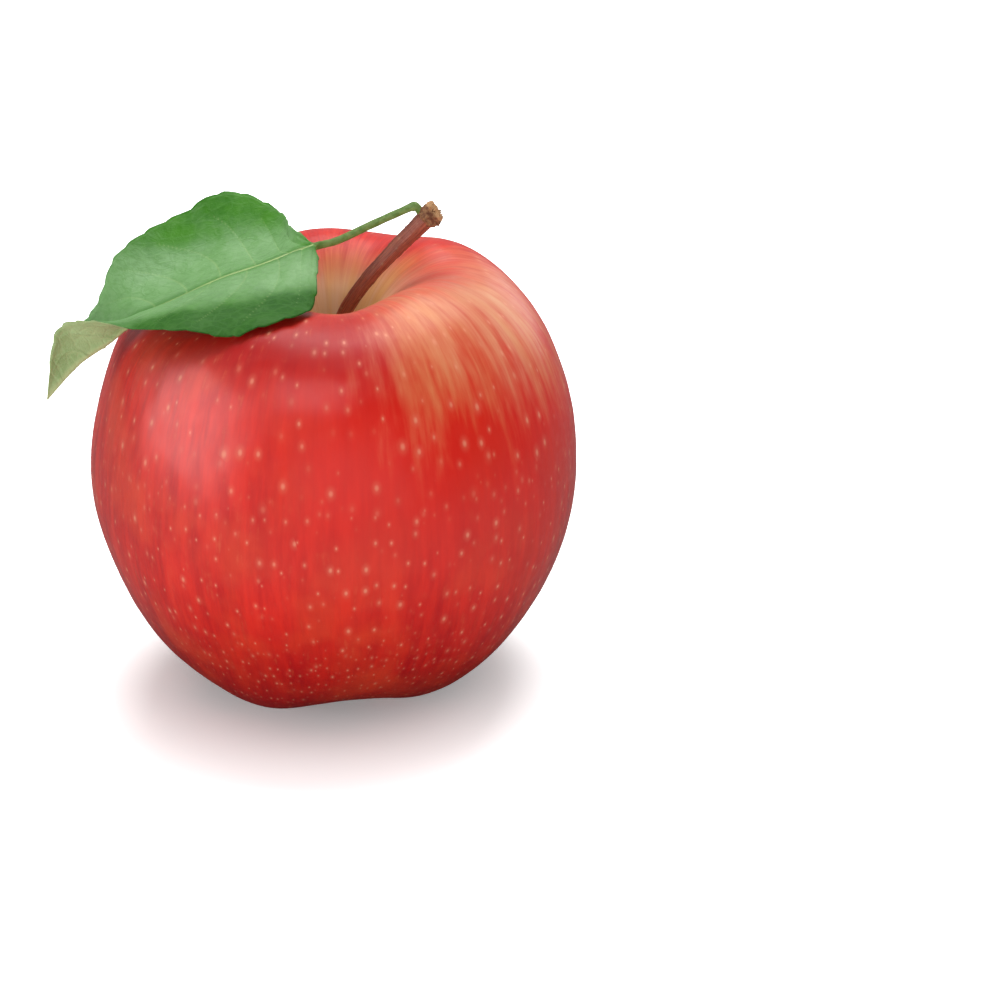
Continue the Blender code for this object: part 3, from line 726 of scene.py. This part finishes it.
# -------- stem and spur
def stem_line(samples):
    """Rows of x, y, z and radius along the stem, from its foot in the socket to its top."""
    foot = SEAT_HEIGHT - SOCKET_DEPTH + FIT_GAP
    rows = [(a * STEM_LEAN, a * STEM_BACK, foot + b * STEM_RISE, c * STEM_RADIUS)
            for a, b, c in STEM_SHAPE]
    return smooth_curve(rows, samples)


def carried_frames(line):
    """Directions along a line, and two at right angles that turn as little as they can."""
    forward = unit(np.gradient(line, axis=0))
    side = unit(np.cross(forward[0], (0.0, 1.0, 0.0)))
    sides = []
    for direction in forward:
        side = unit(side - direction * np.dot(side, direction))
        sides.append(side)
    sides = np.array(sides)
    return forward, sides, np.cross(forward, sides)


def make_stem():
    line = stem_line(40)
    reach = unit(line[-1, :3] - line[-2, :3]) * SPUR_LENGTH * 0.4
    line = np.vstack([line, np.append(line[-1, :3] + reach, line[-1, 3])])
    rows, share = evenly(line, STEM_ROWS)
    _, side, other = carried_frames(rows[:, :3])
    turn = np.arange(STEM_COLUMNS) * math.tau / STEM_COLUMNS
    ways = (side[:, None] * np.cos(turn)[None, :, None]
            + other[:, None] * np.sin(turn)[None, :, None])
    ridges = sum(np.sin(count * turn[None] + twist * share[:, None] + start) * high
                 for count, twist, start, high in STEM_RIDGES)
    radius = rows[:, 3:4] * (1 + STEM_RIDGE * ridges)
    grid = rows[:, None, :3] + ways * radius[..., None]
    lumps = ripple(grid, 2.2 * MM, 3.3) * 0.07 + ripple(grid, 0.8 * MM, 6.6) * 0.03
    rings = STEM_RING_RISE * sum(bump(share, at, 0.006) for at in STEM_RINGS)
    grid = grid + ways * (rows[:, 3:4] * (lumps + rings[:, None]))[..., None]
    points, faces = capped_grid(grid, rows[0, :3], rows[-1, :3])
    stem = make_piece("fruit_stem", points, faces, [bark_material()])
    grain = ring_marks(turn, share[:, None]).reshape(-1, 3)
    add_vectors(stem.data, "grain", np.vstack([grain, (0, 0, 0), (0, 0, 1)]))
    settle(stem, ["stem"])


def spur_frame():
    """Foot of the torn spur, just past the stem's end, and the way that it points."""
    line = stem_line(3)[:, :3]
    direction = unit(line[-1] - line[-2])
    return line[-1] + direction * FIT_GAP, direction


def make_spur():
    rim = smooth_curve([(a * SPUR_RADIUS, b * SPUR_LENGTH) for a, b in SPUR_SHAPE], 12)
    foot_ring, top_ring = (0.25 * SPUR_RADIUS, 0.0), (0.12 * SPUR_RADIUS, SPUR_DIMPLE * SPUR_LENGTH)
    outline, _ = evenly(np.vstack([[foot_ring], rim, [top_ring]]), SPUR_ROWS)
    grid, turn = turned(outline, SPUR_COLUMNS)
    share = grid[..., 2] / SPUR_LENGTH
    knots = 1 + sum(high * np.sin(count * turn + twist * share)
                    for high, count, twist in SPUR_KNOTS)
    slant = 1 - SPUR_SLANT * share * np.cos(turn - 0.6)
    grid = grid * np.stack([knots, knots, slant], axis=-1)
    normal = wrapped_normals(grid)
    spokes = ring_marks(turn, 0.25 * share)
    torn = step(share, 0.55, 0.85)
    rough = ripple(spokes, 0.22, 1.1) * 0.5 + ripple(grid, 0.75 * MM, 2.7) * 0.8
    rough += ripple(grid, 0.3 * MM, 5.5) * 0.35
    grid = grid + normal * (rough * SPUR_ROUGH * (0.55 + 0.45 * torn))[..., None]
    spikes = np.abs(ripple(spokes, 0.12, 8.8))
    grid[..., 2] += torn * spikes * SPIKE_HEIGHT
    collar = SPUR_RING_RISE * sum(bump(share, at, spread) for at, spread in SPUR_RINGS)
    grid[..., :2] *= (1 + (collar / SPUR_RADIUS))[..., None]
    points, faces = capped_grid(grid, (0.0, 0.0, 0.0), (0.0, 0.0, grid[-1, :, 2].mean()))
    grain = np.vstack([ring_marks(turn, torn).reshape(-1, 3), (0, 0, 0), (0, 0, 1)]).tolist()
    random = np.random.default_rng(11)
    for _ in range(SPLINTERS):
        angle, out = random.uniform(0, math.tau), random.uniform(0.25, 0.95) * SPUR_RADIUS
        base = np.array([math.cos(angle) * out, math.sin(angle) * out, 0.78 * SPUR_LENGTH])
        lean = np.array([math.cos(angle), math.sin(angle), 0.0]) * random.uniform(-0.1, 0.5)
        tall = random.uniform(0.25, 0.62) * MM
        thick = random.uniform(0.09, 0.22) * MM
        way = unit(lean + (0.0, 0.0, 1.0))
        side = unit(np.cross(way, (0.3, 0.9, 0.1)))
        other = np.cross(way, side)
        first = len(points)
        for level, wide in SPLINTER_TAPER:
            middle = base + way * tall * (0.5 + level)
            for k in range(SPLINTER_SIDES):
                a = math.tau * k / SPLINTER_SIDES
                arm = side * math.cos(a) + other * math.sin(a)
                points.append((middle + arm * thick * wide).tolist())
                grain.append((math.cos(angle + a), math.sin(angle + a), 1.0))
        tip = len(points)
        points.append((base + way * tall * 1.5).tolist())
        grain.append((math.cos(angle), math.sin(angle), 1.0))
        faces += wrapped_faces(len(SPLINTER_TAPER), SPLINTER_SIDES, first)
        faces.append(list(range(first, first + SPLINTER_SIDES)))
        last = tip - SPLINTER_SIDES
        for k in range(SPLINTER_SIDES):
            faces.append((last + (k + 1) % SPLINTER_SIDES, last + k, tip))
    foot, direction = spur_frame()
    lean = Vector((0, 0, 1)).rotation_difference(Vector(direction)).to_matrix()
    points = np.array(points) @ np.array(lean).T + foot
    spur = make_piece("torn_spur", points.tolist(), faces, [torn_material()])
    add_vectors(spur.data, "grain", grain)
    settle(spur, ["spur_knob"])


# -------- leaf
def stalk_start():
    """Where the leaf's stalk meets the spur's side, and the way out from it."""
    foot, direction = spur_frame()
    aside = unit(np.array([-1.0, 0.0, 0.55]))
    aside = unit(aside - direction * np.dot(aside, direction))
    reach = SPUR_RADIUS * SPUR_SWELL + FIT_GAP + 0.3 * STALK_RADIUS
    return foot + direction * STALK_LEVEL * SPUR_LENGTH + aside * reach, aside


def leaf_rails():
    """Rows of near margin, midrib and far margin along the stalk and the blade."""
    start, aside = stalk_start()
    stalk = [start + np.array(point) * STALK_REACH for point in STALK_SHAPE]
    width = np.array([0.0, -STALK_RADIUS, 0.0])
    stalk.insert(0, start - aside * 0.9 * SPUR_RADIUS)
    rows = [(point + width, point, point - width) for point in stalk]
    blade_foot = stalk[-1]
    for near, middle, far in BLADE_SHAPE:
        rows.append(tuple(blade_foot + np.array(p) * LEAF_LENGTH for p in (near, middle, far)))
    return np.array(rows).reshape(len(rows), 9), len(stalk) - 1


def tooth(share):
    """Saw teeth that lean towards the tip, 0 to 1, fading at both ends of the blade."""
    phase = (share * TEETH) % 1.0
    saw = np.where(phase < 0.76, phase / 0.76, (1 - phase) / 0.24)
    return saw ** 0.8 * np.clip(12 * share, 0, 1) * np.clip(10 * (1 - share), 0, 1)


def veins(share, across):
    """1 on the side veins, and how far the blade swells between them, from 0 to 1."""
    reach = np.abs(across)
    wobble = 0.1 * np.sin(9 * share + 4 * reach + 2 * np.sign(across))
    phase = (share - VEIN_SWEEP * reach ** 1.35) / VEIN_SPACING + wobble
    phase = phase + np.where(across < 0, 0.1, 0.55)
    gap = np.abs(phase - np.round(phase))
    real = step(phase, 0.5, 0.9) * step(phase, VEIN_PAIRS + 1.4, VEIN_PAIRS + 0.6)
    width = 0.042 * (1.15 - 0.75 * reach)
    line = bump(gap, 0.0, width) * real * step(reach, 0.98, 0.8)
    swell = np.sin(np.pi * np.clip(gap * 2, 0, 1) / 2) ** 1.2
    swell = swell * (1 - reach ** 4) * step(reach, 0.0, 0.12)
    return line, swell


def rest_over_fruit(surface):
    """Lifts what would come closer to the fruit than the clearance, with a soft corner."""
    flat = surface.reshape(-1, 3).copy()
    spare = flat[:, 2] - fruit_top(flat) - LEAF_CLEARANCE
    soft = 0.4 * MM
    flat[:, 2] += 0.5 * (np.sqrt(spare ** 2 + soft ** 2) - spare)
    return flat.reshape(surface.shape)


def make_leaf():
    rails, last_stalk = leaf_rails()
    turning = last_stalk / (len(rails) - 1)
    blade = np.arange(BLADE_STATIONS) / BLADE_STATIONS
    whole = np.concatenate([np.linspace(0.0, turning, STALK_STATIONS, endpoint=False),
                            turning + blade * (1 - turning)])
    blade = np.concatenate([np.zeros(STALK_STATIONS), blade])
    table = smooth_curve(rails, 40)
    last = len(table) - 1
    table = rows_at(table, np.arange(last + 1), whole * last)
    near, middle, far = table[:, 0:3], table[:, 3:6], table[:, 6:9]
    travel = unit(np.gradient(middle, axis=0))
    fractions = (np.arange(HALF_COLUMNS + 1) / HALF_COLUMNS) ** 1.15
    fullness = np.clip(blade * 10, 0, 1)[:, None]
    teeth = tooth(blade)[:, None] * (0.75 + 0.5 * ripple(middle, 1.8 * MM, 2.0))[:, None]
    notch = NOTCH_DEPTH * step(blade, 0.18, 0.38) * step(blade, NOTCH_AT + 0.035, NOTCH_AT)
    halves = []
    for side, margin, cup in ((-1, near, -LEAF_ARCH), (1, far, LEAF_CUP)):
        arm = margin - middle
        reach = np.linalg.norm(arm, axis=1, keepdims=True)
        sag = unit(np.cross(arm, travel)) * side * reach * cup * fullness
        half = []
        for f in fractions:
            edge = max(0.0, (f - 0.93) / 0.07)
            out = 1.3 * TOOTH_DEPTH * teeth * edge
            if side > 0:
                out = out + notch[:, None] * step(f, 0.5, 1.0)
            half.append(middle + arm * f - sag * 4 * f * (1 - f) + unit(arm) * out)
        halves.append(half)
    surface = np.stack(halves[0][:0:-1] + halves[1], axis=1)
    surface = rest_over_fruit(surface)
    columns = surface.shape[1]
    centre = columns // 2
    across = np.concatenate([-fractions[:0:-1], fractions])[None, :] + 0 * blade[:, None]
    share = blade[:, None] + 0 * across
    normal = unit(np.cross(np.gradient(surface, axis=1), np.gradient(surface, axis=0)))
    line, swell = veins(share, across)
    wide = np.linalg.norm(far - near, axis=1)[:, None] / 2
    off_rib = np.abs(across) * wide
    body = fullness * step(share, 1.0, 0.86)
    crease = ripple(surface, 3.2 * MM, 7.0) + 0.5 * ripple(surface, 1.5 * MM, 3.0)
    shift = body * (PILLOW * swell + CRINKLE * crease * step(off_rib, 0.3 * MM, 3 * MM))
    surface = surface + normal * shift[..., None]
    normal = unit(np.cross(np.gradient(surface, axis=1), np.gradient(surface, axis=0)))

    rib = bump(off_rib, 0.0, RIB_WIDTH)
    taper = 1 - 0.8 * blade[:, None]
    sheet = SHEET_THICKNESS / 2 * step(share, 1.0, 0.9) + 0.03 * MM
    thin = np.clip((1 - np.abs(across)) * 14, 0.35, 1.0)
    top_rise = sheet * thin - body * (RIB_GROOVE * rib * taper + VEIN_GROOVE * line)
    low_drop = sheet * thin + body * (VEIN_RIDGE * line) + STALK_RADIUS * taper * rib
    flat_top = surface + normal * top_rise[..., None]
    flat_low = surface - normal * low_drop[..., None]

    angles = np.linspace(math.pi, 0.0, columns)
    girth = 0.92 + 0.3 * bump(whole, STALK_LEAVES, 0.02) + 0.08 * ripple(middle, 2 * MM)
    girth = (STALK_RADIUS * girth)[:, None, None]
    sideways = unit(surface[:, -1] - surface[:, 0])[:, None]
    upward = normal[:, centre][:, None]
    tube = np.cos(angles)[None, :, None] * sideways * girth
    groove = (1 - 0.35 * bump(angles, math.pi / 2, 0.35))[None, :, None]
    rise = np.sin(angles)[None, :, None] * upward * girth
    core = surface[:, centre][:, None]
    round_part = step(blade, 1 / 12, 0.0)[:, None, None]
    upper = flat_top * (1 - round_part) + (core + tube + rise * groove) * round_part
    lower = flat_low * (1 - round_part) + (core + tube - rise) * round_part
    grid = np.concatenate([upper, lower[:, -2:0:-1]], axis=1)

    tip = surface[-1, centre] + (table[-1, 3:6] - table[-2, 3:6]) * 2
    root = surface[0, centre] - travel[0] * 0.3 * STALK_RADIUS
    points, faces = capped_grid(grid, root, tip)
    looks = [leaf_top_material(), leaf_under_material(), stalk_material()]
    leaf = make_piece("leaf_blade", points, faces, looks)
    count = grid.shape[1]
    row = np.repeat(np.arange(len(blade) - 1), count)
    column = np.tile(np.arange(count), len(blade) - 1)
    index = np.where(blade[row] < STALK_MARK, 2, np.where(column < columns - 1, 0, 1))
    index = np.concatenate([index, np.tile([2, 1], count)])
    leaf.data.polygons.foreach_set("material_index", index.astype(np.int32))
    mark = np.maximum(line * step(share, 0.0, 0.06) * SIDE_VEIN_PALENESS,
                      bump(off_rib, 0.0, 0.36 * MM) * (1 - 0.3 * share))
    marks = np.stack([share * LEAF_LENGTH, across * wide, mark], axis=-1)
    marks = np.concatenate([marks, marks[:, -2:0:-1]], axis=1).reshape(-1, 3)
    add_vectors(leaf.data, "blade", np.vstack([marks, marks[0], marks[-1]]))
    settle(leaf, ["leaf"])


# -------- dried flower in the basin
def basin_height(radius):
    """Height of the basin's skin at a radius inside the feet."""
    curve = fruit_curve(12)
    basin = curve[curve[:, 0] < FOOT_RADIUS][::-1]
    basin = basin[basin[:, 1] < BASIN_DEPTH + FIT_GAP]
    return float(np.interp(radius, basin[:, 0], basin[:, 1]))


def thorn(points, faces, line, radii, sides):
    """Adds a thin closed strand along a line to the lists of points and faces."""
    line = np.asarray(line, float)
    _, side, other = carried_frames(line)
    first = len(points)
    for place, a, b, radius in zip(line, side, other, radii):
        for k in range(sides):
            angle = math.tau * k / sides
            points.append((place + (a * math.cos(angle) + b * math.sin(angle)) * radius).tolist())
    faces += wrapped_faces(len(line), sides, first)
    last = first + (len(line) - 1) * sides
    faces += [list(range(first, first + sides)), list(range(last, last + sides))[::-1]]


def make_sepals(material):
    root = basin_height(CALYX_RADIUS + 0.55 * MM) + 0.5 * MM
    for number in range(SEPALS):
        random = np.random.default_rng(40 + number)
        turn = LOBE_TURN + (number + 0.5) * math.tau / SEPALS
        rows = []
        curl = random.uniform(0.8, 1.25)
        for share in np.linspace(0.0, 1.0, SEPAL_ROWS):
            lean = SEPAL_LEAN * math.sin(math.pi * 0.85 * share) - SEPAL_CURL * curl * share ** 3
            radius = CALYX_RADIUS * (1 - lean)
            width = radius * math.tan(math.pi / SEPALS) * 0.92 * (1 - 0.93 * share ** 1.6)
            thick = SEPAL_THICKNESS * (1 - 0.5 * share)
            level = root - share * SEPAL_LENGTH
            turns = np.linspace(0, math.tau, SEPAL_COLUMNS, endpoint=False)
            cup = -0.3 * np.cos(turns) ** 2 * width
            fold = 0.12 * MM * np.sin(3 * np.cos(turns) + 5 * share)
            rows.append(np.stack([radius + thick * np.sin(turns) + cup + fold,
                                  width * np.cos(turns), level + 0 * turns], axis=-1))
        grid = np.array(rows)
        crinkle = 0.09 * MM * ripple(grid, 0.7 * MM, number)
        grid = grid + wrapped_normals(grid) * crinkle[..., None]
        tip = grid[-1].mean(axis=0) - (0, 0, 0.2 * MM)
        points, faces = capped_grid(grid, grid[0].mean(axis=0), tip)
        normal = wrapped_normals(grid)
        for _ in range(HAIRS):
            i, k = random.integers(2, SEPAL_ROWS - 1), random.integers(0, SEPAL_COLUMNS)
            start = grid[i, k]
            way = unit(-normal[i, k] * 0.8 + random.normal(0, 0.5, 3) + (0, 0, -0.5))
            long = random.uniform(0.25, 0.65) * MM
            bend = random.normal(0, 0.1 * MM, 3)
            line = [start, start + way * long * 0.5 + bend * 0.4, start + way * long + bend]
            thorn(points, faces, line, HAIR_RADII, 3)
        swing = np.array([[math.cos(turn), -math.sin(turn), 0],
                          [math.sin(turn), math.cos(turn), 0], [0, 0, 1]])
        points = (np.array(points) @ swing.T).tolist()
        sepal = make_piece(f"dried_sepal_{number + 1}", points, faces, [material])
        settle(sepal, [f"sepal_{number + 1}"])


def make_tuft(material):
    top = basin_height(0.0) + 0.4 * MM
    random = np.random.default_rng(5)
    points, faces = [], []
    for k in range(STAMENS + STYLES):
        angle = STAMEN_TURN * k + random.uniform(-0.3, 0.3)
        inner = k >= STAMENS
        out = (0.25 if inner else random.uniform(0.6, 1.0)) * TUFT_RADIUS
        long = TUFT_LENGTH * random.uniform(0.75, 1.05) + 0.4 * MM
        way = np.array([math.cos(angle), math.sin(angle), 0.0])
        curl = random.normal(0, 0.16, 3) * MM
        shares = np.linspace(0.0, 1.0, 9)
        line = [way * out * (0.8 + 0.5 * s * (1 - 0.6 * s)) + curl * 3 * s * s
                + (0, 0, top - long * s) for s in shares]
        thick = STYLE_RADIUS if inner else STAMEN_RADIUS
        radii = [thick * (1.2 - 0.5 * s) for s in shares]
        if not inner:
            radii[-3:] = [thick * 1.9, thick * 2.6, thick * 1.5]
        thorn(points, faces, line, radii, 6)
    tuft = make_piece("dried_stamens", points, faces, [material])
    settle(tuft, ["stamen_tuft"])


# -------- stage, light and camera
VIEW_ELEVATION = math.radians(22)
VIEW_DISTANCE = 455.4 * MM  # from the lens to the middle of the fruit
VIEW_RIGHT = 26.9 * MM  # the view's centre, from the fruit's middle
VIEW_DOWN = 5.9 * MM
FRUIT_MIDDLE = 36.0 * MM
LENS_MM = 100
SENSOR_MM = 36
FLOOR_REACH = 4.0

WHITE = (1.0, 1.0, 1.0, 1.0)
LIGHT_AIM = (0.0, 0.0, 0.04)
BACK_WALL = ("back_wall", (0.0, 0.9, 0.42), (0.0, 0.0, 0.16), (1.8, 0.7), 0.3)
SOFTBOXES = (  # for the highlights; each: name, place, aim, size and radiance
    ("left_softbox", (-0.62, -0.26, 0.33), (0.0, -0.26, 0.33), (0.7, 0.56), 3.2),
    ("right_back_softbox", (0.46, 0.7, 0.2), LIGHT_AIM, (0.5, 0.34), 1.0),
    ("top_back_softbox", (0.1, 0.42, 0.7), LIGHT_AIM, (0.62, 0.3), 1.6),
    ("front_softbox", (-0.12, -0.52, 0.68), LIGHT_AIM, (0.5, 0.46), 2.4),
)
FILLS = (  # for the tone; they aren't mirrored
    ("top_fill", (0.04, 0.3, 0.72), LIGHT_AIM, (0.6, 0.5), 7.4),
    ("left_fill", (-0.62, -0.34, 0.14), LIGHT_AIM, (0.5, 0.24), 4.4),
    ("front_fill", (0.14, -0.85, 0.14), LIGHT_AIM, (0.9, 0.24), 4.8),
)


def make_floor():
    """A pale floor that glows: brighter away from the fruit, a painted shadow round its foot, and
    painted bounce light that lights it; it isn't mirrored.
    """
    mesh = bpy.data.meshes.new("studio_floor")
    corners = [(x * FLOOR_REACH, y * FLOOR_REACH, 0)
               for x, y in ((-1, -1), (1, -1), (1, 1), (-1, 1))]
    mesh.from_pydata(corners, [], [(0, 1, 2, 3)])
    mat = Look("pale_floor", Specular_IOR_Level=0.0, Roughness=0.8)
    path = mat.add("LightPath")
    seen, lighting = path.outputs["Is Camera Ray"], path.outputs["Is Diffuse Ray"]
    mat.put(mat.shader.inputs["Base Color"],
             mat.mix(seen, (0.18, 0.18, 0.18), (0.92, 0.92, 0.92)))
    mat.put(mat.shader.inputs["Emission Color"], WHITE)
    away = mat.add("VectorMath", {0: mat.place()}, operation="LENGTH").outputs["Value"]
    # Painted shadow: the floor's glow for the camera is weaker near the fruit.
    glow = mat.total(mat.ramp(away, 0.016, 0.05, 0.19, 0.79),
                      mat.ramp(away, 0.05, 0.4, 0.0, 0.26))
    # Painted bounce light: for diffuse rays the floor glows away from the fruit.
    bounce = mat.ramp(away, 0.03, 0.11, 0.0, 0.95)
    mat.put(mat.shader.inputs["Emission Strength"],
             mat.total(mat.times(glow, seen), mat.times(bounce, lighting)))
    mesh.materials.append(mat.material)
    floor = add_object("studio_floor", mesh)


def area_light(name, place, aim, size, radiance):
    """A rectangular soft light whose face has the given radiance."""
    data = bpy.data.lights.new(name, "AREA")
    data.shape = "RECTANGLE"
    data.size, data.size_y = size
    data.energy = radiance * math.pi * size[0] * size[1]
    light = add_object(name, data)
    light.location = place
    light.rotation_euler = (Vector(aim) - Vector(place)).to_track_quat("-Z", "Y").to_euler()
    return light


def make_lights():
    area_light(*BACK_WALL)
    for softbox in SOFTBOXES:
        area_light(*softbox).visible_diffuse = False
    for fill in FILLS:
        area_light(*fill).visible_glossy = False
    world = bpy.data.worlds.new("studio_air")
    bpy.context.scene.world = world
    world.use_nodes = True
    tree = world.node_tree
    seen = tree.nodes.new("ShaderNodeLightPath").outputs["Is Camera Ray"]
    strength = tree.nodes.new("ShaderNodeMapRange")
    tree.links.new(seen, strength.inputs["Value"])
    strength.inputs["To Min"].default_value = 0.08
    strength.inputs["To Max"].default_value = 1.05
    air = tree.nodes["Background"].inputs
    air["Color"].default_value = WHITE
    tree.links.new(strength.outputs[0], air["Strength"])


def make_camera():
    ahead = Vector((0, math.cos(VIEW_ELEVATION), -math.sin(VIEW_ELEVATION)))
    up = Vector((0, math.sin(VIEW_ELEVATION), math.cos(VIEW_ELEVATION)))
    middle = Vector((AXIS.x, 0.0, FRUIT_MIDDLE))
    data = bpy.data.cameras.new("photo_view")
    data.lens = LENS_MM
    data.sensor_width = SENSOR_MM
    data.clip_start = 0.02
    camera = add_object("photo_view", data)
    camera.location = middle - ahead * VIEW_DISTANCE + Vector((VIEW_RIGHT, 0, 0)) - up * VIEW_DOWN
    camera.rotation_mode = "QUATERNION"
    camera.rotation_quaternion = ahead.to_track_quat("-Z", "Y")
    bpy.context.scene.camera = camera


AXIS = fruit_axis()
make_fruit()
make_stem()
make_spur()
make_leaf()
dried = dried_material()
make_sepals(dried)
make_tuft(dried)
make_floor()
make_lights()
make_camera()
bpy.context.scene.view_settings.view_transform = "Standard"
